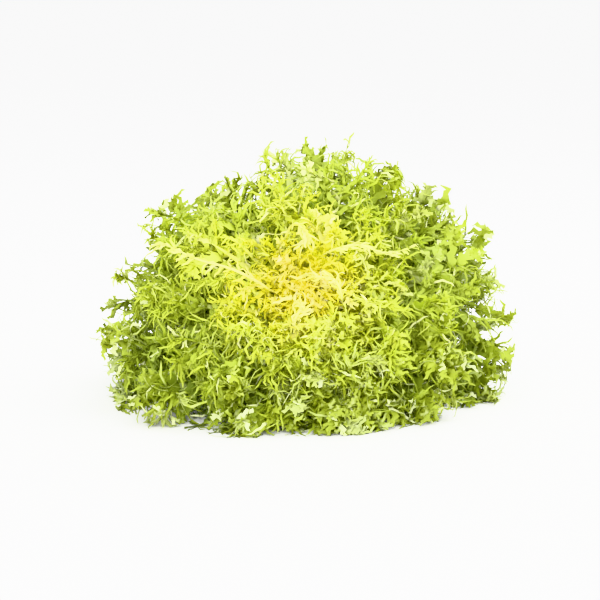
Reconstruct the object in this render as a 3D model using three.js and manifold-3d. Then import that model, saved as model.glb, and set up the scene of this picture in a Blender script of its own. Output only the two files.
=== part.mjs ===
// A curly endive head (frisee), cut at the root and lying tipped over on its cut stem and its lower leaves.
// Millimetres, +Z up. The table is z = 0, the heart looks towards -Y and upwards, +X is to the right of it.
//
// Every leaf grows from one crown. A leaf is drawn in the head's own axes, as in a round rosette, and
// settle() then lays it down: it takes up the head's outline, and what would pass through the table spreads
// along it.
import * as THREE from "three";
import { mergeVertices } from "three/addons/utils/BufferGeometryUtils.js";
import Module from "manifold-3d";

const wasm = await Module();
wasm.setup();

const DEG = Math.PI / 180;
const { clamp, lerp, smoothstep } = THREE.MathUtils;

// ---- driving dimensions ----
const AXIS_RISE = 38 * DEG; // how far the head's axis rises above the table
const CROWN = new THREE.Vector3(7.7, 8.2, 36.9); // the point that all leaves fan out from
const REACH = { left: 172, right: 149, front: 142, back: 132, up: 164 }; // crown to leaf tips
const ROUND_REACH = 150; // crown to leaf tips in the round rosette, before it is laid down
const OUTERMOST = 118 * DEG; // angle between the head's axis and its outermost leaves
const FLARE = 9; // how far those leaves' waves reach beyond that angle
const LEAF_DROP = 38.7; // how far below the crown the table holds that angle and flare
const HEART_HOLLOW = 0.29; // how much shorter the heart's leaves are
const HEART_HOLLOW_ANGLE = 40 * DEG;
const SHOULDER_DIP = 0.08; // how much shorter the leaves are at the upper left
const SHOULDER_ANGLE = 120 * DEG;
const SHOULDER_WIDTH = 16 * DEG;

const STEM_RADIUS = 14;
const STEM_WAIST = 12.4;
const STEM_CUT_RADIUS = 15.5;
const STEM_LENGTH = 50; // crown to cut face
const STEM_SIDES = 20;
const CLEARANCE = 0.5; // between a leaf's foot and the crown

const BUD_LENGTH = 40; // the narrow bud that carries the heart's leaves
const BUD_HALF_ANGLE = 24 * DEG;
const BUD_SIDES = 12;
const WELD = 0.02; // slivers that a join leaves are closed up to this size

const GOLDEN_ANGLE = 137.508 * DEG; // between one leaf and the next
const LENGTH_SPREAD = 0.05; // how much longer or shorter than its neighbours a leaf is
const SWEEP = 6 * DEG; // how far the leaf tips swing sideways
const ROLL = 0.15; // how far a leaf tilts to one side, as rise over width, to lie between its neighbours

// The three kinds of leaf, from the heart outwards, as they are in the round rosette.
// root: from the crown to the leaf's foot; gather: how near the axis that foot is, as a share of the tip's
// angle; petiole: where the bare stalk ends, as a share of the way to the tip; lobes: on each side; spread:
// from the rib to the longest lobe's tip; rib: its width; blade: its thickness; wave: how far the lobes
// stand off the leaf.
const ROOT = STEM_RADIUS + CLEARANCE;
const GATHER = 0.85;
const HEART_LEAF = {
  root: 22, gather: 0.5, petiole: 0.5, lobes: 3, spread: 14, rib: 2.8, blade: 0.8, wave: 2.5,
};
const INNER_LEAF = {
  root: ROOT, gather: GATHER, petiole: 0.4, lobes: 5, spread: 25, rib: 3.4, blade: 0.8, wave: 4.5,
};
const OUTER_LEAF = {
  root: ROOT, gather: GATHER, petiole: 0.34, lobes: 6, spread: 33, rib: 4.6, blade: 0.9, wave: 6,
};
const HEART_LEAVES = 26;
const INNER_LEAVES = 30;
const OUTER_LEAVES = 26;
const LEAF_COUNT = HEART_LEAVES + INNER_LEAVES + OUTER_LEAVES;

const PETIOLE_STEPS = 3;
const RIB_FOOT = 0.36; // half the rib's width at its foot, over the kind's rib width
const RIB_BELLY = 0.62; // the same a third of the way up
const RIB_TAPER = 0.55; // how much of its width the rib keeps at the last lobe
const RIB_DEPTH = 0.62; // thickness over width at the foot
const LAST_LOBE = 0.87; // where the lobes end, as a share of the way to the tip
const LOBE_LEAN = 0.75; // how far a lobe leans towards the leaf's tip, over its pitch along the rib
const SHORTEST_LOBE = 0.55; // over the longest
const POINT_THICKNESS = 0.85; // of a lobe's point, over its blade
const END_LOBE = { left: 0.94, right: 0.93, leftSpread: 0.2, rightSpread: 0.22 }; // shares of tip and spread

// ---- the head's axes, from the crown ----
const AXIS = new THREE.Vector3(0, -Math.cos(AXIS_RISE), Math.sin(AXIS_RISE));
const RIGHT = new THREE.Vector3(1, 0, 0);
const BACK_UP = new THREE.Vector3().crossVectors(AXIS, RIGHT);

// A repeatable variation from -1 to 1 for leaf n; each trait has its own irrational step.
const TRAITS = { length: 5, sweep: 7, wave: 11 };
const vary = (n, trait) => 2 * (((n + 1) * Math.sqrt(TRAITS[trait])) % 1) - 1;
const reachOf = (n) => ROUND_REACH * (1 + LENGTH_SPREAD * vary(n, "length"));

// Crown to leaf tips in a world direction, as a share of ROUND_REACH.
function outline(direction, polar) {
  const sideways = direction.x / (direction.x < 0 ? REACH.left : REACH.right);
  const lengthways = direction.y / (direction.y < 0 ? REACH.front : REACH.back);
  const upwards = direction.z / REACH.up;
  const fromShoulder = Math.atan2(direction.z, direction.x) - SHOULDER_ANGLE;
  const heart = 1 - HEART_HOLLOW * Math.exp(-((polar / HEART_HOLLOW_ANGLE) ** 2));
  const shoulder = 1 - SHOULDER_DIP * Math.exp(-((fromShoulder / SHOULDER_WIDTH) ** 2));
  return (heart * shoulder) / Math.hypot(sideways, lengthways, upwards) / ROUND_REACH;
}

const directionAt = (polar, azimuth) =>
  new THREE.Vector3()
    .addScaledVector(AXIS, Math.cos(polar))
    .addScaledVector(RIGHT, Math.sin(polar) * Math.cos(azimuth))
    .addScaledVector(BACK_UP, Math.sin(polar) * Math.sin(azimuth));

// How far the table narrows the rosette at a distance and azimuth from the crown: 1 where it doesn't.
function room(distance, azimuth) {
  const rise = Math.sin(AXIS_RISE);
  const across = Math.cos(AXIS_RISE) * Math.sin(azimuth);
  const drop = LEAF_DROP / distance / Math.hypot(rise, across);
  if (drop >= 1) return 1;
  const widest = OUTERMOST * lerp(GATHER, 1, smoothstep(distance, 0, ROUND_REACH)) + FLARE / distance;
  return Math.min(1, (Math.atan2(across, rise) + Math.acos(-drop)) / widest);
}

// Lays a point of the round rosette down on the table. It never lets two leaves change places.
function settle(point) {
  const distance = point.length();
  const roundPolar = Math.acos(clamp(point.z / distance, -1, 1));
  const azimuth = Math.atan2(point.y, point.x);
  const leafShare = smoothstep(distance, STEM_RADIUS, 4 * STEM_RADIUS);
  let polar = roundPolar;
  let reached = distance;
  for (let pass = 0; pass < 4; pass++) {
    reached = distance * lerp(1, outline(directionAt(polar, azimuth), polar), leafShare);
    polar = roundPolar * room(reached, azimuth);
  }
  return directionAt(polar, azimuth).multiplyScalar(reached).add(CROWN);
}

// ---- solids ----
function solidFrom(geometry) {
  const bare = new THREE.BufferGeometry().setAttribute("position", geometry.getAttribute("position"));
  bare.setIndex(geometry.index);
  const merged = mergeVertices(bare, 1e-4);
  const vertProperties = new Float32Array(merged.attributes.position.array);
  const triVerts = new Uint32Array(merged.index.array);
  return new wasm.Manifold(new wasm.Mesh({ numProp: 3, vertProperties, triVerts }));
}

function geometryFrom(solid) {
  const { numProp, vertProperties, triVerts } = solid.getMesh();
  const positions = new Float32Array((vertProperties.length / numProp) * 3);
  for (let i = 0; i * numProp < vertProperties.length; i++)
    positions.set(vertProperties.subarray(i * numProp, i * numProp + 3), i * 3);
  const geometry = new THREE.BufferGeometry();
  geometry.setAttribute("position", new THREE.BufferAttribute(positions, 3));
  geometry.setIndex(new THREE.BufferAttribute(triVerts, 1));
  geometry.computeVertexNormals();
  return geometry;
}

const largestBody = (solid) => solid.decompose().reduce((a, b) => (a.volume() > b.volume() ? a : b));

// Gives a sheet of triangles its thickness: the same triangles on both faces, and a wall round the outline.
function thicken({ points, triangles, thicknesses }) {
  const normals = points.map(() => new THREE.Vector3());
  const openEdges = new Map();
  for (const [a, b, c] of triangles) {
    const faceNormal = new THREE.Triangle(points[a], points[b], points[c]).getNormal(new THREE.Vector3());
    for (const corner of [a, b, c]) normals[corner].add(faceNormal);
    for (const [from, to] of [[a, b], [b, c], [c, a]]) {
      if (openEdges.has(`${to} ${from}`)) openEdges.delete(`${to} ${from}`);
      else openEdges.set(`${from} ${to}`, [from, to]);
    }
  }
  const positions = [];
  for (const face of [0.5, -0.5])
    points.forEach((point, i) => {
      const offset = normals[i].clone().normalize().multiplyScalar(face * thicknesses[i]);
      positions.push(...offset.add(point).toArray());
    });
  const under = points.length;
  const index = [];
  for (const [a, b, c] of triangles) index.push(a, b, c, under + c, under + b, under + a);
  for (const [from, to] of openEdges.values())
    index.push(to, from, under + from, to, under + from, under + to);
  const geometry = new THREE.BufferGeometry();
  geometry.setAttribute("position", new THREE.BufferAttribute(new Float32Array(positions), 3));
  geometry.setIndex(index);
  return geometry;
}

// ---- one leaf ----
// The leaf's middle surface in the round rosette: along is its share of the way from crown to tip,
// side is the distance across, and lift the distance towards the heart.
function leafPlacer(kind, n) {
  const polarTip = OUTERMOST * ((n + 0.5) / LEAF_COUNT);
  const azimuthRoot = n * GOLDEN_ANGLE;
  const sweep = SWEEP * (Math.sin(3 * azimuthRoot + 1) + vary(n, "sweep") / 4); // neighbours swing alike
  return (along, side, lift) => {
    const distance = reachOf(n) * along;
    const overlap = lift - ROLL * side; // a leaf lies under one neighbour and over the other
    const polar = polarTip * lerp(kind.gather, 1, smoothstep(along, 0, 1)) - overlap / distance;
    const azimuth = azimuthRoot + sweep * along * along;
    const turned = side / distance;
    const outwards = new THREE.Vector3(Math.cos(azimuth), Math.sin(azimuth), 0);
    const across = new THREE.Vector3(-Math.sin(azimuth), Math.cos(azimuth), 0);
    return new THREE.Vector3(0, 0, Math.cos(polar))
      .addScaledVector(outwards, Math.sin(polar))
      .multiplyScalar(Math.cos(turned))
      .addScaledVector(across, Math.sin(turned))
      .multiplyScalar(distance);
  };
}

// A petiole that widens into a rib, with a row of pointed lobes cut to the rib on each side.
function leafSheet(kind, n) {
  const place = leafPlacer(kind, n);
  const wave = kind.wave * room(ROUND_REACH, n * GOLDEN_ANGLE) ** 1.5; // less where it lies on the table
  const sheet = { points: [], triangles: [], thicknesses: [] };
  const add = (along, side, lift, thickness) => {
    sheet.points.push(settle(place(along, side, lift)));
    sheet.thicknesses.push(thickness);
    return sheet.points.length - 1;
  };
  const quad = (a, b, c, d) => sheet.triangles.push([a, b, c], [a, c, d]);

  const stations = [];
  for (let step = 0; step < PETIOLE_STEPS; step++)
    stations.push(lerp(kind.root / reachOf(n), kind.petiole, (step / PETIOLE_STEPS) ** 1.2));
  for (let lobe = 0; lobe <= kind.lobes; lobe++)
    stations.push(lerp(kind.petiole, LAST_LOBE, lobe / kind.lobes));

  // The rib is narrow at its foot, widest a third of the way up, and tapers to the tip.
  let previous = null;
  stations.forEach((along, k) => {
    const share = k / (stations.length - 1);
    const belly = Math.sin(Math.PI * Math.min(1, share * 1.4)) ** 2;
    const half = kind.rib * lerp(RIB_FOOT, RIB_BELLY, belly) * lerp(1, RIB_TAPER, share);
    const thickness = lerp(kind.rib * RIB_DEPTH, kind.blade * 1.2, Math.min(1, share * 1.6));
    const left = add(along, half, 0, thickness);
    const right = add(along, -half, 0, thickness);
    if (previous) quad(previous.right, previous.left, left, right);
    if (k > PETIOLE_STEPS) {
      const lobe = k - PETIOLE_STEPS - 1;
      addLobe(lobe, 1, previous.left, left, previous.along, along, half);
      addLobe(lobe, -1, previous.right, right, previous.along, along, half);
    }
    previous = { left, right, along };
  });

  // One lobe between two stations widens to its shoulders and runs out to a point. hand is 1 or -1.
  function addLobe(lobe, hand, back, front, begin, end, half) {
    const lobeShare = (lobe + 0.5) / kind.lobes;
    const length = kind.spread * lerp(SHORTEST_LOBE, 1, Math.sin(Math.PI * lerp(0.22, 0.8, lobeShare)));
    const wobble = Math.sin(9.7 * (n + 1) + 5.3 * (lobe + 0.5) + 2.1 * hand);
    const lift = wave * (0.7 * hand * (lobe % 2 ? -1 : 1) + 0.5 * wobble);
    const pitch = end - begin;
    const lean = pitch * (LOBE_LEAN + 0.2 * wobble);
    const shoulder = (along, share) =>
      add(along + 0.55 * lean, hand * (half + share * length), 0.5 * lift, kind.blade);
    const shoulderBack = shoulder(begin + 0.18 * pitch, 0.5);
    const shoulderFront = shoulder(end - 0.12 * pitch, 0.44);
    const point = POINT_THICKNESS * kind.blade;
    const tip = add(begin + 0.6 * pitch + 1.5 * lean, hand * (half + length), lift, point);
    if (hand > 0) {
      quad(back, shoulderBack, shoulderFront, front);
      sheet.triangles.push([shoulderBack, tip, shoulderFront]);
    } else {
      quad(front, shoulderFront, shoulderBack, back);
      sheet.triangles.push([shoulderFront, tip, shoulderBack]);
    }
  }

  // The end lobe is in line with the rib.
  const endLeft = add(END_LOBE.left, END_LOBE.leftSpread * kind.spread, 0.3 * wave, kind.blade);
  const endRight = add(END_LOBE.right, -END_LOBE.rightSpread * kind.spread, -0.2 * wave, kind.blade);
  const endTip = add(1, 0, 0.6 * wave * vary(n, "wave"), POINT_THICKNESS * kind.blade);
  quad(previous.right, previous.left, endLeft, endRight);
  sheet.triangles.push([endRight, endLeft, endTip]);
  return sheet;
}

const leafSolid = (kind, n) => solidFrom(thicken(leafSheet(kind, n)));

// ---- the heart: small leaves on the narrow bud that they grow from ----
function budSolid() {
  const foot = STEM_RADIUS + CLEARANCE;
  const bulge = Math.sin(BUD_HALF_ANGLE);
  const shoulder = BUD_LENGTH * Math.cos(BUD_HALF_ANGLE);
  const steps = [0, 0.25, 0.5, 0.75, 1];
  const footArc = steps.map((step) => {
    const polar = step * BUD_HALF_ANGLE;
    return new THREE.Vector2(foot * Math.sin(polar), foot * Math.cos(polar));
  });
  const dome = steps.map((step) => {
    const turn = (step * Math.PI) / 2;
    return new THREE.Vector2(BUD_LENGTH * bulge * Math.cos(turn), shoulder * (1 + bulge * Math.sin(turn)));
  });
  dome[dome.length - 1].x = 0;
  const geometry = new THREE.LatheGeometry([...footArc, ...dome], BUD_SIDES);
  const position = geometry.getAttribute("position");
  for (let i = 0; i < position.count; i++) {
    const round = new THREE.Vector3(position.getZ(i), position.getX(i), position.getY(i));
    position.setXYZ(i, ...settle(round).toArray());
  }
  return solidFrom(geometry);
}

function heartSolid() {
  let heart = budSolid();
  for (let n = 0; n < HEART_LEAVES; n++) heart = heart.add(leafSolid(HEART_LEAF, n));
  return largestBody(heart.simplify(WELD));
}

// ---- the stem: a rounded crown on a short stump, cut square and resting on the edge of the cut ----
function stemSolid() {
  const profile = [
    new THREE.Vector2(0, -STEM_LENGTH),
    new THREE.Vector2(STEM_CUT_RADIUS, -STEM_LENGTH),
    new THREE.Vector2(STEM_CUT_RADIUS - 1, -0.62 * STEM_LENGTH),
    new THREE.Vector2(STEM_WAIST, -0.3 * STEM_LENGTH),
  ];
  const domeStart = -26 * DEG;
  const domeSteps = 6;
  for (let step = 0; step <= domeSteps; step++) {
    const angle = lerp(domeStart, Math.PI / 2, step / domeSteps);
    profile.push(new THREE.Vector2(STEM_RADIUS * Math.cos(angle), STEM_RADIUS * Math.sin(angle)));
  }
  profile[profile.length - 1].x = 0;
  const stump = new THREE.LatheGeometry(profile, STEM_SIDES);
  const side = new THREE.Vector3().crossVectors(AXIS, BACK_UP);
  stump.applyMatrix4(new THREE.Matrix4().makeBasis(side, AXIS, BACK_UP).setPosition(CROWN));
  const table = new THREE.BoxGeometry(400, 400, 40).translate(0, 0, -20);
  return solidFrom(stump).subtract(solidFrom(table));
}

// ---- the head ----
const head = new THREE.Group();
function addPiece(name, solid, material) {
  const mesh = new THREE.Mesh(geometryFrom(solid), material);
  mesh.name = name;
  head.add(mesh);
}
const finish = (color, roughness) => new THREE.MeshStandardMaterial({ color, roughness, metalness: 0 });

function addLeaves(name, kind, first, count, material) {
  for (let i = 0; i < count; i++)
    addPiece(`${name}_${String(i + 1).padStart(2, "0")}`, leafSolid(kind, first + i), material);
}

addPiece("stem", stemSolid(), finish("#e9ecc8", 0.6));
addPiece("heart", heartSolid(), finish("#ece05a", 0.5));
addLeaves("inner_leaf", INNER_LEAF, HEART_LEAVES, INNER_LEAVES, finish("#c3d24e", 0.5));
addLeaves("outer_leaf", OUTER_LEAF, HEART_LEAVES + INNER_LEAVES, OUTER_LEAVES, finish("#93ad3f", 0.5));

export default head;
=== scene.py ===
# A head of curly endive lying on its cut stem and its lower leaves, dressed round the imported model.
# The file follows the plant as it grew: the stem, the heart, the inner leaves and the outer leaves.
import math
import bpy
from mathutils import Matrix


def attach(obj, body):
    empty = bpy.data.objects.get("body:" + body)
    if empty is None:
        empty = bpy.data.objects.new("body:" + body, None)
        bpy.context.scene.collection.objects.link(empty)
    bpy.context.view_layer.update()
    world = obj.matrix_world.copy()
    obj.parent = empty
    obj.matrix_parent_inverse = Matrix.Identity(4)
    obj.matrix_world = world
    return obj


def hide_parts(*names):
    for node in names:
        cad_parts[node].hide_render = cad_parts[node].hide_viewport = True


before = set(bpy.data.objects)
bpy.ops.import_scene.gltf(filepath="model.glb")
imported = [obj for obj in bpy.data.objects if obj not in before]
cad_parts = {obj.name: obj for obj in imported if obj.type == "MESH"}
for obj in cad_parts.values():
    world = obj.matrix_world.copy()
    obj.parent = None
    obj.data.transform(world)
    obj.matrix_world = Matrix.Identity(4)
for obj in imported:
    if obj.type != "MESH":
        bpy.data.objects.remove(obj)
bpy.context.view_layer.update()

from types import SimpleNamespace
import bmesh
import bpy
import numpy as np
from mathutils import Vector

scene = bpy.context.scene


# ---- the studio ----
# A plain white sweep under broad soft light, seen from a little above the table. The floor is matt card, wide
# enough that its edge is never in view.
CAMERA_RISE = math.radians(12)
LENS = 100.0
SENSOR = 36.0
METRES_PER_PIXEL = 0.000728  # at the head's distance
PICTURE_SIDE = 600
LOOK_AT = Vector((-0.002, 0.0, 0.07))
ROOM_WHITE = (1, 1, 1, 1)
ROOM_BRIGHTNESS = 2.0
FLOOR_HALF = 25.0
CARD_WHITE = (0.8, 0.8, 0.8, 1)
CARD_ROUGHNESS = 0.9

camera_data = bpy.data.cameras.new("camera")
camera_data.lens = LENS
camera_data.sensor_width = SENSOR
camera = bpy.data.objects.new("camera", camera_data)
scene.collection.objects.link(camera)
towards_camera = Vector((0, -math.cos(CAMERA_RISE), math.sin(CAMERA_RISE)))
camera.location = LOOK_AT + METRES_PER_PIXEL * PICTURE_SIDE * LENS / SENSOR * towards_camera
camera.rotation_euler = towards_camera.to_track_quat("Z", "Y").to_euler()
scene.camera = camera
scene.view_settings.view_transform = "Khronos PBR Neutral"

world = bpy.data.worlds.new("white room")
world.use_nodes = True
world.node_tree.nodes["Background"].inputs["Color"].default_value = ROOM_WHITE
world.node_tree.nodes["Background"].inputs["Strength"].default_value = ROOM_BRIGHTNESS
scene.world = world


def hang_soft_lamp(name, width, power, location):
    lamp = bpy.data.lights.new(name, "AREA")
    lamp.shape = "DISK"
    lamp.size = width
    lamp.energy = power
    holder = bpy.data.objects.new(name, lamp)
    holder.location = location
    holder.rotation_euler = (Vector(location) - LOOK_AT).to_track_quat("Z", "Y").to_euler()
    scene.collection.objects.link(holder)


hang_soft_lamp("top", width=1.0, power=32, location=(0.6, 0.1, 1.25))
hang_soft_lamp("front", width=2.0, power=84, location=(-0.45, -1.85, 0.85))

floor_shape = bmesh.new()
bmesh.ops.create_grid(floor_shape, x_segments=1, y_segments=1, size=FLOOR_HALF)
floor_mesh = bpy.data.meshes.new("floor")
floor_shape.to_mesh(floor_mesh)
floor_shape.free()
floor = bpy.data.objects.new("floor", floor_mesh)
scene.collection.objects.link(floor)
card = bpy.data.materials.new("white card")
card.use_nodes = True
card_shader = card.node_tree.nodes["Principled BSDF"]
card_shader.inputs["Base Color"].default_value = CARD_WHITE
card_shader.inputs["Roughness"].default_value = CARD_ROUGHNESS
floor_mesh.materials.append(card)


# ---- the stem ----
# The short stump that every leaf grows from: firm white-green flesh with fine fibres, ringed by the scars of
# leaves that were pulled off. A knife cut it square at the root, and the cut has dried to tan.
AXIS_RISE = math.radians(38)  # the stem lies back, and the head faces the front and up at this angle
AXIS = np.array((0, -math.cos(AXIS_RISE), math.sin(AXIS_RISE)))
STEM_FLESH = "#dfe2b4"
STEM_RIDGE = "#b9c283"
STEM_SCAR = "#a4ad74"
STEM_CUT = "#c2a880"
STEM_CUT_STAIN = "#93744c"
STEM_ROUGHNESS = 0.5
FIBRE_SCALE = (260, 40, 260)  # fine across the head, drawn out from its back to its front
FIBRE_DETAIL = 5
FIBRE_STRENGTH = 0.4
FIBRE_RELIEF = 0.001
RING_PATTERN = {"Scale": 0.34, "Distortion": 13, "Detail": 3, "Detail Scale": 0.22}
RING_EDGE, RING_MIDDLE = 0.16, 0.02  # the wave's height at the edge of a scar and along its middle
CUT_FROM, CUT_FULL = 0.9, 0.98  # how squarely a face looks along the stem where cut face starts, and is full
STAIN_SCALE = 240
STAIN_DETAIL = 4


def colour(hex_code):
    channels = [int(hex_code[i:i + 2], 16) / 255 for i in (1, 3, 5)]
    return [c / 12.92 if c <= 0.04045 else ((c + 0.055) / 1.055) ** 2.4 for c in channels] + [1]


class Finish:
    """A finish in the making: its material, and the kinds of node that it is mixed from."""

    def __init__(self, name):
        self.material = bpy.data.materials.new(name)
        self.material.use_nodes = True
        self.nodes = self.material.node_tree.nodes
        self.links = self.material.node_tree.links
        self.shader = self.nodes["Principled BSDF"]
        self.place = self.add("ShaderNodeTexCoord", {})["Object"]

    def fill(self, node, inputs):
        """Fills a node's inputs: with a link where a value is another node's output, else with the value."""
        for socket, value in inputs.items():
            if isinstance(value, bpy.types.NodeSocket):
                self.links.new(value, node.inputs[socket])
            else:
                node.inputs[socket].default_value = value

    def add(self, kind, inputs, **settings):
        """Adds a node and gives its outputs."""
        node = self.nodes.new(kind)
        for setting, choice in settings.items():
            setattr(node, setting, choice)
        self.fill(node, inputs)
        return node.outputs

    def noise(self, where, scale, detail):
        return self.add("ShaderNodeTexNoise", {"Vector": where, "Scale": scale, "Detail": detail})["Fac"]

    def rescale(self, value, low, high, new_low=0, new_high=1):
        inputs = {"Value": value, "From Min": low, "From Max": high, "To Min": new_low, "To Max": new_high}
        return self.add("ShaderNodeMapRange", inputs)["Result"]

    def work_out(self, operation, *numbers, **settings):
        return self.add("ShaderNodeMath", dict(enumerate(numbers)), operation=operation, **settings)["Value"]

    def measure(self, operation, a, b):
        return self.add("ShaderNodeVectorMath", {0: a, 1: b}, operation=operation)["Value"]

    def mix(self, share, a, b):
        return self.add("ShaderNodeMix", {"Factor": share, "A": a, "B": b}, data_type="RGBA")["Result"]

    def ramp(self, value, stops):
        """A colour that passes through the stops, each a position and a hex code."""
        node = self.nodes.new("ShaderNodeValToRGB")
        self.links.new(value, node.inputs["Fac"])
        elements = node.color_ramp.elements
        while len(elements) < len(stops):
            elements.new(0.5)
        for element, (position, hex_code) in zip(elements, stops):
            element.position = position
            element.color = colour(hex_code)
        return node.outputs["Color"]

    def relief(self, height, strength, distance):
        inputs = {"Height": height, "Strength": strength, "Distance": distance}
        return self.add("ShaderNodeBump", inputs)["Normal"]


stump = Finish("stem flesh")
turn_to_stem = (AXIS_RISE - math.radians(90), 0, 0)
lengthwise = {"Vector": stump.place, "Rotation": turn_to_stem, "Scale": FIBRE_SCALE}
along_stem = stump.add("ShaderNodeMapping", lengthwise)["Vector"]
fibre = stump.noise(along_stem, 1, FIBRE_DETAIL)
flesh = stump.ramp(fibre, ((0.35, STEM_RIDGE), (0.6, STEM_FLESH)))
rings = stump.add("ShaderNodeTexWave", {"Vector": along_stem, **RING_PATTERN}, bands_direction="Y")["Fac"]
scarred = stump.mix(stump.rescale(rings, RING_EDGE, RING_MIDDLE), flesh, colour(STEM_SCAR))
facing = stump.add("ShaderNodeNewGeometry", {})["Normal"]
on_cut = stump.rescale(stump.measure("DOT_PRODUCT", facing, tuple(-AXIS)), CUT_FROM, CUT_FULL)
stain = stump.noise(stump.place, STAIN_SCALE, STAIN_DETAIL)
cut_face = stump.ramp(stain, ((0.4, STEM_CUT_STAIN), (0.62, STEM_CUT)))
stump.fill(stump.shader, {
    "Base Color": stump.mix(on_cut, scarred, cut_face),
    "Roughness": STEM_ROUGHNESS,
    "Normal": stump.relief(fibre, FIBRE_STRENGTH, FIBRE_RELIEF),
})
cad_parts["stem"].data.materials.clear()
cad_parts["stem"].data.materials.append(stump.material)


# ---- the heart ----
# The tight bunch of young leaves in the middle, yellow on ivory ribs because light never reached them. All
# grow from one bud, each as a rib that splits into lobes, and each lobe into fine curled strands.

# Where a leaf goes. It is drawn flat and set in a round rosette about the head's axis, which is then laid
# down on the table. Lengths are in mm, and leaves are counted from the bud outwards.
HEART_LEAVES, INNER_LEAVES, OUTER_LEAVES = 26, 30, 26
LEAF_COUNT = HEART_LEAVES + INNER_LEAVES + OUTER_LEAVES
GOLDEN_ANGLE = math.radians(137.508)  # from each leaf to the next, round the axis
OUTERMOST = math.radians(118)  # the last leaf's angle from the axis
CROWN = np.array((7.7, 8.2, 36.9))
ROUND_REACH = 150  # from the crown to a leaf's tip in the round rosette
LENGTH_SPREAD = 0.05
GATHER = 0.85  # a leaf's angle from the axis at its foot, as a share of the angle at its tip
SWEEP = math.radians(6)
ROLL = 0.15
STEM_RADIUS = 14
CLEAR_OF_STEM = 4 * STEM_RADIUS
REACH_LEFT, REACH_RIGHT, REACH_FRONT, REACH_BACK, REACH_UP = 174, 158, 132, 126, 168  # once on the table
LEAF_DROP = 38.7  # the lowest that leaves hang below the crown
FLARE = 9
SETTLING_ROUNDS = 4
HEART_HOLLOW = 0.29  # how much shorter the leaves along the axis are, fading over this angle from it
HEART_HOLLOW_ANGLE = math.radians(40)
# The head isn't an even dome. Seen from the front, at an angle from the right it reaches this share of one.
DOME = np.array((
    (-35, 0.85), (-20, 0.94), (-5, 0.97), (10, 1.01), (25, 1.09), (40, 1.07), (50, 0.92), (60, 0.82),
    (70, 0.97), (85, 1.09), (97, 1.03), (110, 0.80), (122, 0.91), (135, 0.98), (150, 0.95), (165, 0.97),
    (180, 1.00), (195, 0.98), (210, 1.00),
))
DOME_ANGLES, DOME_SHARES = np.radians(DOME[:, 0]), DOME[:, 1]
# Seen from above, it is shorter or longer at two places: by how much, at what angle from the right, how wide.
FRONT_CORNERS = ((0.03, math.radians(-45), math.radians(25)), (-0.15, math.radians(-138), math.radians(18)))
TABLE_SKIN = 4.0  # below this height frills flatten against the table
SOFT_EDGE = 0.93  # beyond this share of the outline frills are pressed back
MILLIMETRE = 0.001

RIGHT = np.array((1.0, 0, 0))
BACK_UP = np.cross(AXIS, RIGHT)


def lerp(a, b, share):
    return a + (b - a) * share


def smoothstep(value, low, high):
    share = np.clip((value - low) / (high - low), 0, 1)
    return share * share * (3 - 2 * share)


def vary(n, step):
    """A repeatable variation from -1 to 1 for leaf n."""
    return 2 * (((n + 1) * math.sqrt(step)) % 1) - 1


def reach_of(n):
    """From the crown to the tip of leaf n in the round rosette."""
    return ROUND_REACH * (1 + LENGTH_SPREAD * vary(n, 5))


def direction_at(polar, azimuth):
    """The directions at an angle from the head's axis and an angle round it."""
    along = np.cos(polar)[:, None] * AXIS
    across = (np.sin(polar) * np.cos(azimuth))[:, None] * RIGHT
    back = (np.sin(polar) * np.sin(azimuth))[:, None] * BACK_UP
    return along + across + back


def outline(direction, polar):
    """From the crown to the leaf tips in a direction of the table's frame, as a share of ROUND_REACH."""
    x, y, z = direction.T
    sideways = x / np.where(x < 0, REACH_LEFT, REACH_RIGHT)
    lengthways = y / np.where(y < 0, REACH_FRONT, REACH_BACK)
    shorter = 1 - HEART_HOLLOW * np.exp(-((polar / HEART_HOLLOW_ANGLE) ** 2))
    front_angle = (np.arctan2(z, x) + math.pi / 2) % (2 * math.pi) - math.pi / 2
    shorter *= lerp(1, np.interp(front_angle, DOME_ANGLES, DOME_SHARES), x**2 + z**2)
    for dip, middle, width in FRONT_CORNERS:
        shorter *= 1 - dip * np.exp(-(((np.arctan2(y, x) - middle) / width) ** 2))
    return shorter / np.sqrt(sideways**2 + lengthways**2 + (z / REACH_UP) ** 2) / ROUND_REACH


def room(distance, azimuth):
    """How far the table narrows the rosette at a distance from the crown and an angle round the axis."""
    rise = math.sin(AXIS_RISE)
    across = math.cos(AXIS_RISE) * np.sin(azimuth)
    drop = np.minimum(1, LEAF_DROP / distance / np.hypot(rise, across))
    widest = OUTERMOST * lerp(GATHER, 1, smoothstep(distance, 0, ROUND_REACH)) + FLARE / distance
    held = (np.arctan2(across, rise) + np.arccos(-drop)) / widest
    return np.where(drop < 1, np.minimum(1, held), 1)


def settle(points):
    """Lays points of the round rosette down on the table."""
    distance = np.linalg.norm(points, axis=1)
    round_polar = np.arccos(np.clip(points[:, 2] / distance, -1, 1))
    azimuth = np.arctan2(points[:, 1], points[:, 0])
    leaf_share = smoothstep(distance, STEM_RADIUS, CLEAR_OF_STEM)
    polar = round_polar
    for _ in range(SETTLING_ROUNDS):
        reached = distance * lerp(1, outline(direction_at(polar, azimuth), polar), leaf_share)
        polar = round_polar * room(reached, azimuth)
    return CROWN + direction_at(polar, azimuth) * reached[:, None]


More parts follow.
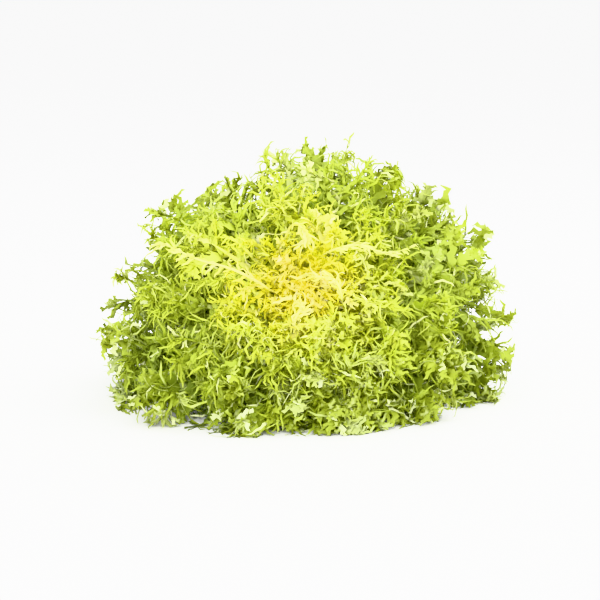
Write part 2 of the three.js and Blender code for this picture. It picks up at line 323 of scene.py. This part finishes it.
def trim(points, n):
    """Keeps the frills of leaf n within the head's outline and above the table.

    Gives the points, and how far out each is as a share of the outline.
    """
    arm = points - CROWN
    distance = np.linalg.norm(arm, axis=1)
    direction = arm / distance[:, None]
    polar = np.arccos(np.clip(direction @ AXIS, -1, 1))
    longest = outline(direction, polar) * reach_of(n)
    over = np.maximum(0, distance / longest - SOFT_EDGE)
    soft = longest * (SOFT_EDGE + (1 - SOFT_EDGE) * np.tanh(over / (1 - SOFT_EDGE)))
    trimmed = CROWN + direction * np.where(over > 0, soft, distance)[:, None]
    height = trimmed[:, 2]
    flattened = TABLE_SKIN * np.exp(np.minimum(0, height / TABLE_SKIN - 1))
    trimmed[:, 2] = np.where(height < TABLE_SKIN, flattened, height)
    return trimmed, distance / longest


def set_in_head(points, n, gather):
    """Takes points of leaf n, drawn flat with x along its rib from the crown, into the round rosette."""
    distance, side, lift = points.T
    along = distance / reach_of(n)
    azimuth_root = n * GOLDEN_ANGLE
    sweep = SWEEP * (math.sin(3 * azimuth_root + 1) + vary(n, 7) / 4)
    polar_tip = OUTERMOST * (n + 0.5) / LEAF_COUNT
    polar = polar_tip * lerp(gather, 1, smoothstep(along, 0, 1)) - (lift - ROLL * side) / distance
    azimuth = azimuth_root + sweep * along * along
    aside = side / distance
    flat = np.sin(polar)
    spine = np.stack((flat * np.cos(azimuth), flat * np.sin(azimuth), np.cos(polar)), axis=1)
    across = np.stack((-np.sin(azimuth), np.cos(azimuth), np.zeros_like(azimuth)), axis=1)
    return (spine * np.cos(aside)[:, None] + across * np.sin(aside)[:, None]) * distance[:, None]


# How ribs, lobes and strands grow. Each follows a line that bends, curls up and twists step by step, and gets
# its flesh from a pointed rod with a keel below and two sharp edges. Angles are in radians.
RIB_STEPS, LOBE_STEPS = 24, 8
CURL_AT_FOOT, CURL_GAIN = 0.4, 1.2
DROOP = np.array((0, 0, -0.4))  # how far lobes and strands sag by their tips
NEARLY_NOUGHT = 0.001
SHARP_FROM = 0.8  # a rod's edges this far to the side stay sharp
FOOT_FLARE, FLARE_LENGTH = 0.6, 0.1
BODY_WIDTH = 0.8
TEETH_FROM = 0.9  # teeth are cut this far to the side
TOOTH_LEAN = 0.8
CUPPING = 0.3  # how far the edges are raised
THINNING = 0.6
VEIN_FADING = 0.7


def unit(vectors):
    return vectors / np.linalg.norm(vectors, axis=-1, keepdims=True)


def upright(normals, headings):
    """The normals, squared up to the headings."""
    return unit(normals - headings * (normals * headings).sum(axis=-1, keepdims=True))


def turned(vectors, axes, angles):
    """The vectors turned about their axes."""
    cos, sin = np.cos(angles)[:, None], np.sin(angles)[:, None]
    along = (vectors * axes).sum(axis=1, keepdims=True)
    return vectors * cos + np.cross(axes, vectors) * sin + axes * along * (1 - cos)


class Strands:
    """Strands side by side: the line that each follows, and the way it faces at every step."""

    def __init__(self, points, headings, normals):
        self.points, self.headings, self.normals = points, headings, normals
        self.across = np.cross(normals, headings)
        self.steps = len(points) - 1

    def at(self, steps, strands):
        """Point, heading and normal at the given step of each given strand."""
        return self.points[steps, strands], self.headings[steps, strands], self.normals[steps, strands]


def grow(points, headings, normals, lengths, steps, bend, curl, twist, pull):
    """Grows strands step by step, each bending sideways, curling up and twisting by its own angle."""
    line, ahead, facing = [points], [headings], [normals]
    for step in range(steps):
        across = np.cross(normals, headings)
        curling = curl * (CURL_AT_FOOT + CURL_GAIN * step / steps) / steps
        sideways = across * (bend / steps)[:, None]
        headings = unit(headings + sideways + normals * curling[:, None] + pull / steps)
        normals = upright(normals + across * (twist / steps)[:, None], headings)
        points = points + headings * (lengths / steps)[:, None]
        line.append(points)
        ahead.append(headings)
        facing.append(normals)
    return Strands(np.array(line), np.array(ahead), np.array(facing))


def strand_shape(sides, steps):
    """A closed pointed rod of the given sides, cut into steps, one unit long along z."""
    rod = bmesh.new()
    bmesh.ops.create_cone(rod, cap_ends=True, segments=sides, radius1=1, radius2=0, depth=1)
    bmesh.ops.translate(rod, verts=rod.verts, vec=(0, 0, 0.5))
    for step in range(1, steps):
        everything = rod.verts[:] + rod.edges[:] + rod.faces[:]
        bmesh.ops.bisect_plane(rod, geom=everything, plane_co=(0, 0, step / steps), plane_no=(0, 0, 1))
    for edge in rod.edges:
        lengthwise = abs(edge.verts[0].co.z - edge.verts[1].co.z) > NEARLY_NOUGHT
        at_side = all(abs(vert.co.x) > SHARP_FROM * (1 - vert.co.z) - NEARLY_NOUGHT for vert in edge.verts)
        edge.smooth = not (lengthwise and at_side)
    shape = bpy.data.meshes.new("strand")
    rod.to_mesh(shape)
    rod.free()
    return shape


RIB_SHAPE = strand_shape(6, RIB_STEPS)
LOBE_SHAPE = strand_shape(3, LOBE_STEPS)
STRAND_SHAPES = {steps: strand_shape(3, steps) for steps in (4, 5)}


def unit_places(shape):
    """Where each vertex of a pointed rod is: its share of the length, and its side and face from -1 to 1.

    The rod is turned half round, keel down, so that a blade's raised edges never cross its middle.
    """
    places = np.array([vert.co for vert in shape.vertices])
    share = places[:, 2]
    ring = np.where(share > 1 - NEARLY_NOUGHT, np.inf, 1 - share)
    side = places[:, 0] / ring
    return share, -side / side.max(), -places[:, 1] / ring


def flesh_out(strands, shape, widths, depth, jag, taper, pale):
    """Gives strands their flesh: flared where they join, jagged at both edges, pointed at the tip.

    Gives the points, and how pale each is: most along the midrib, and in pale strands, among them the strands
    painted pale as glints of caught light, a painted highlight.
    """
    share, edge, face = unit_places(shape)
    step = np.rint(share * strands.steps).astype(int)
    half = 0.5 * (BODY_WIDTH + FOOT_FLARE * np.exp(-share / FLARE_LENGTH)) * (1 - share**taper)
    between_ends = (step > 0) & (step < strands.steps)
    toothed = ((step % 2 == (edge < 0)) & between_ends & (np.abs(edge) > TEETH_FROM)) * jag
    side = edge * (half + toothed)
    forward = toothed * TOOTH_LEAN
    raised = CUPPING * half * np.abs(edge) ** 2
    across = strands.across[step] * (side[:, None, None] * widths[None, :, None])
    ahead = strands.headings[step] * (forward[:, None, None] * widths[None, :, None])
    thick = face[:, None] * depth * (1 - THINNING * share[:, None]) + raised[:, None] * widths[None, :]
    placed = strands.points[step] + across + ahead + strands.normals[step] * thick[:, :, None]
    vein_and_glint = ((1 - np.abs(edge)) * (1 - VEIN_FADING * share))[:, None] + pale
    return placed.transpose(1, 0, 2).reshape(-1, 3), vein_and_glint.T.ravel()


def joined(parts):
    """The points and the paleness, of midribs and of painted glints, of several parts, one after the other.
    """
    points, veins_and_glints = zip(*parts)
    return np.concatenate(points), np.concatenate(veins_and_glints)


# How a leaf is cut. A pair of numbers is a range to draw from, or else goes from the foot to the tip of what
# the lobes or strands stand on. Some lobes are broad: flatter, wider and forked from half-way. Angles are in
# radians.
SEASON = 8400  # every leaf's own chance bends are drawn from this and its number
RIB_LENGTHS = (0.95, 1.0)
RIB_BEND, RIB_CURL = 0.06, 0.05
ARCH_FROM = 0.45  # the share of its reach at which a rib starts to arch back
RIB_THICKNESS, RIB_TAPER = 0.2, 4
LOBE_SCATTER = 0.9
LOBE_ANGLES, LOBE_ANGLE_RANGE = (1.3, 0.75), (0.6, 1.3)
LOBE_TILTS, LOBE_DIP, LOBE_ROLL = (0.6, 1.1), 0.3, 0.4
LOBE_SWELLING, LOBE_SHORTEST = (0.15, 0.8), 0.55  # lobes are longest some way short of the rib's tip
LOBE_LENGTHS, LOBE_WIDTHS, LOBE_WIDTH = (0.8, 1.2), (0.8, 1.2), 0.85
LOBE_BENDS, LOBE_CURL = (-0.4, 1.5), -0.3
LOBE_TEETH, LOBE_TAPER = 0.7, 3
BROAD_RISE, BROAD_LENGTH, BROAD_WIDTH, BROAD_CURL = 0.5, 1.1, 1.7, 0.5
STRANDS_FROM, FORKS_FROM = 2, 4  # the first step of a lobe, and of a broad lobe, that carries a strand
STRAND_ANGLES, STRAND_ANGLE_RANGE = (1.1, 0.6), (0.5, 1.4)
STRAND_TILT, FORK_TILT = 0.9, 0.4
STRAND_LENGTHS, STRAND_SHORTENING, FORK_LENGTH = (0.4, 1.0), 0.4, 0.7
STRAND_BENDS, STRAND_CURL, STRAND_CURL_GAIN = (-1.8, 2.4), -0.2, 1.5
STRAND_WIDTHS, FORK_WIDTH = (0.7, 1.5), 2.2
STRAND_THICKNESS, STRAND_TAPER, STRAND_PALE = 0.8, 2, 0.6
# How pale a glint strand is painted: a painted highlight of caught light, standing partly for a pale curled
# underside.
GLINT = 1.7


def share_of_kind(n, kind):
    return (n - kind.first) / kind.leaves


def grow_rib(n, kind, rng):
    """The rib of leaf n: drawn flat, arched back towards its tip, and set in the head."""
    reach = reach_of(n)
    foot, ahead, up = np.array([[kind.root, 0.0, 0.0]]), np.array([[1.0, 0, 0]]), np.array([[0, 0, 1.0]])
    length = np.ones(1) * (reach * kind.rib_end * rng.uniform(*RIB_LENGTHS) - kind.root)
    bend = rng.normal(0, RIB_BEND, 1)
    curl = rng.normal(0, RIB_CURL, 1)
    rib = grow(foot, ahead, up, length, RIB_STEPS, bend, curl, twist=np.zeros(1), pull=0)
    arch_from = ARCH_FROM * reach
    arch_radius = (1 - ARCH_FROM) * reach / lerp(*kind.arch_back, share_of_kind(n, kind))

    def place(flat):
        length, side, lift = flat.T
        lift = lift + kind.lean * length
        past = np.maximum(0, length - arch_from)
        arm = arch_radius + lift
        length = np.where(past > 0, arch_from + arm * np.sin(past / arch_radius), length)
        lift = np.where(past > 0, arm * np.cos(past / arch_radius) - arch_radius, lift)
        return settle(set_in_head(np.stack((length, side, lift), axis=1), n, kind.gather))

    line = place(rib.points[:, 0])
    headings = unit(np.gradient(line, axis=0))
    normals = upright(place(rib.points[:, 0] + rib.normals[:, 0]) - line, headings)
    return Strands(line[:, None], headings[:, None], normals[:, None])


def grow_lobes(kind, rib, rng):
    """The lobes on both sides of a rib and round its tip: lines, lengths, which are broad, and how pale."""
    count = kind.lobes
    order = (np.arange(count) + rng.uniform(0, LOBE_SCATTER, count)) / count
    step = np.rint(RIB_STEPS * lerp(kind.petiole, 1, order**0.5)).astype(int)
    hand = np.where(np.arange(count) % 2, 1.0, -1.0)
    point, heading, normal = rib.at(step, np.zeros(count, int))
    angle = hand * lerp(*LOBE_ANGLES, order**2) * rng.uniform(*LOBE_ANGLE_RANGE, count)
    out = turned(heading, normal, angle)
    tilt = rng.normal(0, 1, count) * lerp(*LOBE_TILTS, order**2) - LOBE_DIP * hand
    out = turned(out, heading, tilt)
    normal = upright(turned(normal, heading, tilt + rng.normal(0, LOBE_ROLL, count)), out)
    normal = turned(normal, out, hand * kind.face)
    broad = rng.uniform(0, 1, count) < kind.broad
    pale = kind.pale * (rng.uniform(0, 1, count) < kind.ivory) * broad
    out = unit(out + normal * (BROAD_RISE * broad)[:, None])
    normal = upright(normal, out)
    swelling = lerp(LOBE_SHORTEST, 1, np.sin(np.pi * lerp(*LOBE_SWELLING, order)))
    length = kind.spread * swelling * rng.uniform(*LOBE_LENGTHS, count)
    length *= np.where(broad, BROAD_LENGTH, 1)
    bend = -hand * rng.uniform(*LOBE_BENDS, count)
    curl = rng.normal(LOBE_CURL, kind.curl, count) * np.where(broad, BROAD_CURL, 1) - BROAD_CURL * broad
    twist = rng.normal(0, kind.twist, count)
    return grow(point, out, normal, length, LOBE_STEPS, bend, curl, twist, DROOP), length, broad, pale


def grow_strands(kind, lobes, lengths, forked, step, lobe, hand, rng):
    """A strand at the given step of each given lobe, to its left or its right."""
    count = len(lobe)
    along = step / LOBE_STEPS
    point, heading, normal = lobes.at(step, lobe)
    angle = hand * lerp(*STRAND_ANGLES, along) * rng.uniform(*STRAND_ANGLE_RANGE, count)
    out = turned(heading, normal, angle)
    out = turned(out, heading, rng.normal(0, STRAND_TILT, count) * np.where(forked, FORK_TILT, 1))
    normal = upright(normal, out)
    length = lengths[lobe] * rng.uniform(*STRAND_LENGTHS, count) * (1 - STRAND_SHORTENING * along)
    length *= np.where(forked, FORK_LENGTH, 1)
    bend = -hand * rng.uniform(*STRAND_BENDS, count)
    curl = rng.normal(STRAND_CURL, kind.curl * STRAND_CURL_GAIN, count)
    twist = rng.normal(0, kind.twist, count)
    return grow(point, out, normal, length, kind.strand_steps, bend, curl, twist, DROOP)


def draw_leaf(n, kind):
    """One leaf: a rib, lobes on both sides and round its tip, and jagged strands on every lobe."""
    rng = np.random.default_rng(SEASON + round(n * 10))
    rib = grow_rib(n, kind, rng)
    lobes, lengths, broad, pale = grow_lobes(kind, rib, rng)
    lobe = np.repeat(np.arange(kind.lobes), kind.strands)
    k = np.tile(np.arange(kind.strands), kind.lobes)
    forked = broad[lobe]
    first = np.where(forked, FORKS_FROM, STRANDS_FROM)
    step = np.rint(lerp(first, LOBE_STEPS - 1, k / (kind.strands - 1))).astype(int)
    hand = np.where((k + lobe) % 2, 1.0, -1.0)
    strands = grow_strands(kind, lobes, lengths, forked, step, lobe, hand, rng)
    # Painted highlights: a few strands are painted pale as glints of caught light.
    glint = GLINT * (rng.uniform(0, 1, len(lobe)) < kind.glints)
    lobe_widths = kind.width * np.where(broad, BROAD_WIDTH, LOBE_WIDTH)
    lobe_widths *= rng.uniform(*LOBE_WIDTHS, kind.lobes)
    strand_widths = kind.fine * kind.width * rng.uniform(*STRAND_WIDTHS, len(lobe))
    strand_widths *= np.where(forked, FORK_WIDTH, 1)
    rib_pale = np.full(1, lerp(*kind.rib_pale, share_of_kind(n, kind)))
    points, veins_and_glints = joined((
        flesh_out(rib, RIB_SHAPE, np.array([kind.rib]), depth=kind.rib * RIB_THICKNESS,
                  jag=0, taper=RIB_TAPER, pale=rib_pale),
        flesh_out(lobes, LOBE_SHAPE, lobe_widths, depth=kind.blade,
                  jag=kind.jag * LOBE_TEETH, taper=LOBE_TAPER, pale=pale),
        flesh_out(strands, STRAND_SHAPES[strands.steps], strand_widths, depth=kind.blade * STRAND_THICKNESS,
                  jag=kind.jag, taper=STRAND_TAPER, pale=STRAND_PALE * pale[lobe] + glint),
    ))
    placed, tipward = trim(points, n)
    return placed * MILLIMETRE, veins_and_glints, tipward


# Five stalks arch out over the heart with their ivory ribs bare and short curled strands along their outer
# part. These are the points that each bends towards, in mm. It lies a little nearer the crown, nestled among
# the frills.
IVORY_RIBS = (
    ((-8, -2, 62), (-16, -52, 90), (-26, -80, 102), (-57, -90, 112), (-88, -84, 128), (-103, -79, 127)),
    ((-4, 2, 70), (-22, -30, 118), (-22, -56, 146), (4, -68, 152), (10, -76, 134), (-2, -74, 126)),
    ((8, 0, 70), (10, -46, 112), (16, -66, 140), (36, -80, 126), (52, -70, 118), (77, -58, 122)),
    ((12, -10, 50), (34, -60, 76), (36, -84, 90), (26, -88, 104), (12, -86, 110), (2, -76, 106)),
    ((0, -12, 44), (-8, -72, 58), (-12, -98, 70), (2, -102, 84), (2, -94, 92), (-10, -84, 90)),
)
IVORY_NESTLE = 0.955
IVORY_AGE = 18  # they are as old as this leaf
IVORY = 0.9
IVORY_WIDTH, IVORY_THICKNESS, IVORY_TAPER = 2.6, 0.3, 3
WAVE, WAVE_ANGLE, WAVE_PACES, WAVE_STARTS = 1.3, 11, (1.0, 0.8, 1.3), (0, 6)
FRINGE = 24  # strands along each
FRINGE_FROM = 0.4  # the share of a rib's length at which they start
FRINGE_STEPS = 4
FRINGE_ANGLES, FRINGE_LENGTHS, FRINGE_WIDTHS = (0.4, 1.0), (6, 15), (0.9, 1.6)
FRINGE_BENDS, FRINGE_CURL, FRINGE_CURL_SPREAD, FRINGE_TWIST = (-0.6, 1.8), -0.3, 1.6, 1
FRINGE_THICKNESS, FRINGE_TEETH, FRINGE_TAPER = 0.25, 0.6, 2
FRINGE_PALENESS = (0.3, 1.6)


def arch(points, steps):
    """A smooth line from the first point to the last that bends towards those between."""
    shares = np.linspace(0, 1, steps + 1)[:, None]
    line = [np.array(point, float) for point in points]
    while len(line) > 1:
        line = [lerp(a, b, shares) for a, b in zip(line, line[1:])]
    return line[0]


def draw_ivory_rib(points, rng):
    """One bare ivory rib with its fringe. It counts as being at the outline, so that no painted shade darkens
    it.
    """
    wave = np.outer(np.linspace(0, WAVE_ANGLE, RIB_STEPS + 1), WAVE_PACES) + rng.uniform(*WAVE_STARTS, 3)
    line = lerp(CROWN, arch(points, RIB_STEPS), IVORY_NESTLE) + WAVE * np.sin(wave)
    headings = unit(np.gradient(line, axis=0))
    normals = upright(line - CROWN, headings)
    rib = Strands(line[:, None], headings[:, None], normals[:, None])
    k = np.arange(FRINGE)
    step = np.rint(RIB_STEPS * lerp(FRINGE_FROM, 1, k / (FRINGE - 1))).astype(int)
    hand = np.where(k % 2, 1.0, -1.0)
    point, heading, normal = rib.at(step, 0 * k)
    out = turned(heading, normal, hand * rng.uniform(*FRINGE_ANGLES, FRINGE))
    length = rng.uniform(*FRINGE_LENGTHS, FRINGE)
    bend = -hand * rng.uniform(*FRINGE_BENDS, FRINGE)
    curl = rng.normal(FRINGE_CURL, FRINGE_CURL_SPREAD, FRINGE)
    twist = rng.normal(0, FRINGE_TWIST, FRINGE)
    strands = grow(point, out, upright(normal, out), length, FRINGE_STEPS, bend, curl, twist, DROOP)
    widths = rng.uniform(*FRINGE_WIDTHS, FRINGE)
    pale = rng.uniform(*FRINGE_PALENESS, FRINGE) * IVORY
    placed, veins_and_glints = joined((
        flesh_out(rib, RIB_SHAPE, np.array([IVORY_WIDTH]), depth=IVORY_THICKNESS * IVORY_WIDTH, jag=0,
                  taper=IVORY_TAPER, pale=np.full(1, IVORY)),
        flesh_out(strands, STRAND_SHAPES[FRINGE_STEPS], widths, depth=FRINGE_THICKNESS, jag=FRINGE_TEETH,
                  taper=FRINGE_TAPER, pale=pale),
    ))
    return placed * MILLIMETRE, veins_and_glints, np.ones(len(placed))


def gather_shapes(name, shapes):
    """One mesh that holds each shape as many times as it says."""
    whole = bmesh.new()
    for shape, count in shapes:
        for _ in range(count):
            whole.from_mesh(shape)
    mesh = bpy.data.meshes.new(name)
    whole.to_mesh(mesh)
    whole.free()
    return mesh


def grow_leaves(name, leaves, kind, finish, ivory_ribs=()):
    """Grows the leaves and sets them in the head as one piece."""
    strands = (STRAND_SHAPES[kind.strand_steps], kind.lobes * kind.strands)
    one_leaf = gather_shapes("leaf", ((RIB_SHAPE, 1), (LOBE_SHAPE, kind.lobes), strands))
    one_rib = gather_shapes("rib", ((RIB_SHAPE, 1), (STRAND_SHAPES[FRINGE_STEPS], FRINGE)))
    mesh = gather_shapes(name, ((one_leaf, len(leaves)), (one_rib, len(ivory_ribs))))
    bpy.data.meshes.remove(one_leaf)
    bpy.data.meshes.remove(one_rib)
    drawn = [(n, draw_leaf(n, kind)) for n in leaves]
    drawn += [(IVORY_AGE, draw_ivory_rib(rib, np.random.default_rng(k))) for k, rib in enumerate(ivory_ribs)]
    points, veins_and_glints, tipwards = zip(*(leaf for _, leaf in drawn))
    ages = [np.full(len(leaf[0]), n / LEAF_COUNT) for n, leaf in drawn]
    mesh.vertices.foreach_set("co", np.concatenate(points).ravel())
    for attribute, values in (("vein_and_glint", veins_and_glints), ("age", ages), ("tipward", tipwards)):
        mesh.attributes.new(attribute, "FLOAT", "POINT").data.foreach_set("value", np.concatenate(values))
    mesh.update()
    mesh.shade_smooth()
    mesh.materials.append(finish)
    piece = bpy.data.objects.new(name, mesh)
    scene.collection.objects.link(piece)
    return piece


# What a leaf looks like. Its colours follow its age, from nought at the bud to one at the outermost leaf.
# "Full" is the share of the head's outline within which a change is whole, and "end" the share where it ends.
BLADE_AGES = ((0.0, "#eae250"), (0.12, "#e8e456"), (0.27, "#dade5a"), (0.38, "#cad150"), (0.52, "#b5c148"),
              (0.78, "#9ba83e"), (1.0, "#8b993a"))
RIB_AGES = ((0.0, "#fdf9d6"), (0.3, "#f4f3b8"), (0.6, "#e8edb0"), (1.0, "#e4ebbc"))
AGE_WEIGHT = 0.8
HEART_MIDDLE = (-0.02, -0.07, 0.096)
YELLOW_WITHIN, GREEN_BEYOND = 0.015, 0.1  # metres from there
YELLOWER, GREENER = -0.05, 0.24  # what that adds to the age that a blade shows
HUE_AS_IT_IS = 0.5
# Painted shade: far in among the frills a leaf is painted darker, greyer and greener. These say where that
# painted shade is whole and where it ends.
PAINTED_COOLING_FULL, PAINTED_COOLING_END = 0.5, 0.92
PAINTED_SHADE_FULL, PAINTED_SHADE_END = 0.55, 0.88
PETIOLE_FULL, PETIOLE_END, PETIOLE_PALE = 0.15, 0.4, 0.7
WHOLLY_VEIN = 2
MOTTLE_SCALE, MOTTLE_DETAIL = 60, 3
MOTTLE_LOW, MOTTLE_HIGH = 0.3, 0.7
MOTTLE_DARKEST, MOTTLE_LIGHTEST = 0.8, 1.15
ROUGHEST, SMOOTHEST = 0.6, 0.42
WAX_SHEEN = 0.22
CRINKLE_SCALE, CRINKLE_DETAIL, CRINKLE_STRENGTH, CRINKLE_RELIEF = 700, 2, 0.35, 0.0004


def leaf_finish(name, painted_depth_shade, painted_depth_greying, painted_depth_cooling, through):
    """Thin waxy leaf that lets a share of the light through.

    Far in among the frills, shade is painted into its colour: its brightness and its saturation are
    multiplied by the shade and greying factors, and its blade's hue is shifted greener by the cooling factor.
    A brightness factor above one paints light there instead.
    """
    leaf = Finish(name)
    age = leaf.add("ShaderNodeAttribute", {}, attribute_name="age")["Fac"]
    vein_and_glint = leaf.add("ShaderNodeAttribute", {}, attribute_name="vein_and_glint")["Fac"]
    tipward = leaf.add("ShaderNodeAttribute", {}, attribute_name="tipward")["Fac"]
    mottle = leaf.noise(leaf.place, MOTTLE_SCALE, MOTTLE_DETAIL)
    crinkle = leaf.noise(leaf.place, CRINKLE_SCALE, CRINKLE_DETAIL)
    from_heart = leaf.measure("DISTANCE", leaf.place, HEART_MIDDLE)
    greening = leaf.rescale(from_heart, YELLOW_WITHIN, GREEN_BEYOND, YELLOWER, GREENER)
    shown_age = leaf.work_out("MULTIPLY_ADD", age, AGE_WEIGHT, greening)
    # Painted shade: far in among the frills the blade's hue is shifted greener.
    blade = leaf.add("ShaderNodeHueSaturation", {
        "Hue": leaf.rescale(tipward, PAINTED_COOLING_FULL, PAINTED_COOLING_END, HUE_AS_IT_IS + painted_depth_cooling, HUE_AS_IT_IS),
        "Color": leaf.ramp(shown_age, BLADE_AGES),
    })["Color"]
    # Paler along midribs, on ivory lobes and petioles, and on strands painted pale as glints, a painted
    # highlight.
    in_vein_and_glint = leaf.rescale(vein_and_glint, 0, WHOLLY_VEIN)
    in_petiole = leaf.rescale(tipward, PETIOLE_FULL, PETIOLE_END, PETIOLE_PALE, 0)
    paler = leaf.work_out("ADD", in_vein_and_glint, in_petiole, use_clamp=True)
    mottling = leaf.rescale(mottle, MOTTLE_LOW, MOTTLE_HIGH, MOTTLE_DARKEST, MOTTLE_LIGHTEST)
    # Painted shade: far in among the frills the colour is made darker and greyer. A brightness factor above
    # one makes it lighter there instead, as painted light.
    painted = leaf.add("ShaderNodeHueSaturation", {
        "Saturation": leaf.rescale(tipward, PAINTED_SHADE_FULL, PAINTED_SHADE_END, painted_depth_greying, 1),
        "Value": leaf.work_out("MULTIPLY", mottling, leaf.rescale(tipward, PAINTED_SHADE_FULL, PAINTED_SHADE_END, painted_depth_shade, 1)),
        "Color": leaf.mix(paler, blade, leaf.ramp(age, RIB_AGES)),
    })["Color"]
    leaf.fill(leaf.shader, {
        "Base Color": painted,
        "Roughness": leaf.rescale(mottle, MOTTLE_LOW, MOTTLE_HIGH, ROUGHEST, SMOOTHEST),
        "Specular IOR Level": WAX_SHEEN,
        "Normal": leaf.relief(crinkle, CRINKLE_STRENGTH, CRINKLE_RELIEF),
    })
    glow = leaf.add("ShaderNodeBsdfTranslucent", {"Color": painted})["BSDF"]
    both = {"Fac": through, 1: leaf.shader.outputs["BSDF"], 2: glow}
    leaf.fill(leaf.nodes["Material Output"], {"Surface": leaf.add("ShaderNodeMixShader", both)["Shader"]})
    return leaf.material


# A kind of leaf. Lengths are in mm and angles in radians. A pair is for the kind's first leaf and its last.
HEART_KIND = SimpleNamespace(
    first=0, leaves=HEART_LEAVES,
    root=20, rib_end=0.84,  # where the rib starts, and the share of the leaf's reach at which it ends
    gather=0.65, lean=0, arch_back=(-0.7, 0.5),  # held in at its foot, leant to the axis, arched away from it
    petiole=0.3,  # the share of the rib that is bare
    rib=7.0, rib_pale=(-1, 0.6),  # its width, and how pale it is
    lobes=10, spread=20, width=1.9, face=1.1,  # their number, length, width, and how far they turn sideways
    broad=0.15, ivory=0.6, pale=0.9,  # the share that is broad, the share of those that is pale, and how pale
    strands=8, strand_steps=4,  # on each lobe
    fine=0.48, glints=0.06,  # their width to the lobe's, and the share painted pale as glints: painted highlights, partly pale undersides
    curl=1.8, twist=0.9,  # the spread of both
    jag=0.6, blade=0.25,  # depth of teeth to width, and half the thickness
)
LEAVES_IN_ONE = 3  # small leaves drawn for each one in the frame's heart
# Painted light: far in among the heart's frills a brightness factor above one lightens the shade there.
heart_finish = leaf_finish("blanched leaf", painted_depth_shade=1.12, painted_depth_greying=1, painted_depth_cooling=0, through=0.56)
heart_leaves = [k / LEAVES_IN_ONE for k in range(LEAVES_IN_ONE * HEART_LEAVES)]
heart = grow_leaves("curled_heart", heart_leaves, HEART_KIND, heart_finish, IVORY_RIBS)
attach(heart, "root")
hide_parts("heart")


# ---- the inner leaves ----
# The ring round the heart: thin yellow-green blades, half blanched, cut almost to a pale flat rib. Each grows
# from the crown on a short bare stalk, and is so deeply lobed and curled that little but its frills shows.
INNER_KIND = SimpleNamespace(
    first=HEART_LEAVES, leaves=INNER_LEAVES,
    root=13, rib_end=0.77,
    gather=GATHER, lean=0.12, arch_back=(0.7, 0.9),
    petiole=0.22,
    rib=6.5, rib_pale=(0.4, 0.4),
    lobes=28, spread=31, width=3.0, face=0,
    broad=0.22, ivory=0.15, pale=0.9,
    strands=15, strand_steps=5, fine=0.31, glints=0.04,
    curl=1.4, twist=0.9,
    jag=0.7, blade=0.25,
)
# Painted shade: far in among the frills these leaves are painted a little darker, greyer and greener.
inner_finish = leaf_finish("yellow-green leaf", painted_depth_shade=0.98, painted_depth_greying=0.9, painted_depth_cooling=0.015, through=0.45)
for i in range(INNER_LEAVES):
    node = f"inner_leaf_{i + 1:02d}"
    leaf = grow_leaves("curled_" + node, [HEART_LEAVES + i], INNER_KIND, inner_finish)
    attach(leaf, "root")
    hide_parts(node)


# ---- the outer leaves ----
# The full-grown leaves, which saw the light: longer, greener and a little thicker, on broad pale ribs. Each
# grows from the crown below the inner leaves and arches back, down to the table or out into the open.
OUTER_KIND = SimpleNamespace(
    first=HEART_LEAVES + INNER_LEAVES, leaves=OUTER_LEAVES,
    root=13, rib_end=0.77,
    gather=GATHER, lean=0.14, arch_back=(0.9, 1.0),
    petiole=0.25,
    rib=7.0, rib_pale=(0.4, 0.4),
    lobes=30, spread=36, width=3.5, face=0,
    broad=0.4, ivory=0.12, pale=0.8,
    strands=15, strand_steps=5, fine=0.31, glints=0.08,
    curl=1.3, twist=0.8,
    jag=0.7, blade=0.3,
)
# Painted shade: far in among the frills these leaves are painted darker, greyer and greener.
outer_finish = leaf_finish("green leaf", painted_depth_shade=0.82, painted_depth_greying=0.8, painted_depth_cooling=0.035, through=0.4)
for i in range(OUTER_LEAVES):
    node = f"outer_leaf_{i + 1:02d}"
    leaf = grow_leaves("curled_" + node, [HEART_LEAVES + INNER_LEAVES + i], OUTER_KIND, outer_finish)
    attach(leaf, "root")
    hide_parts(node)
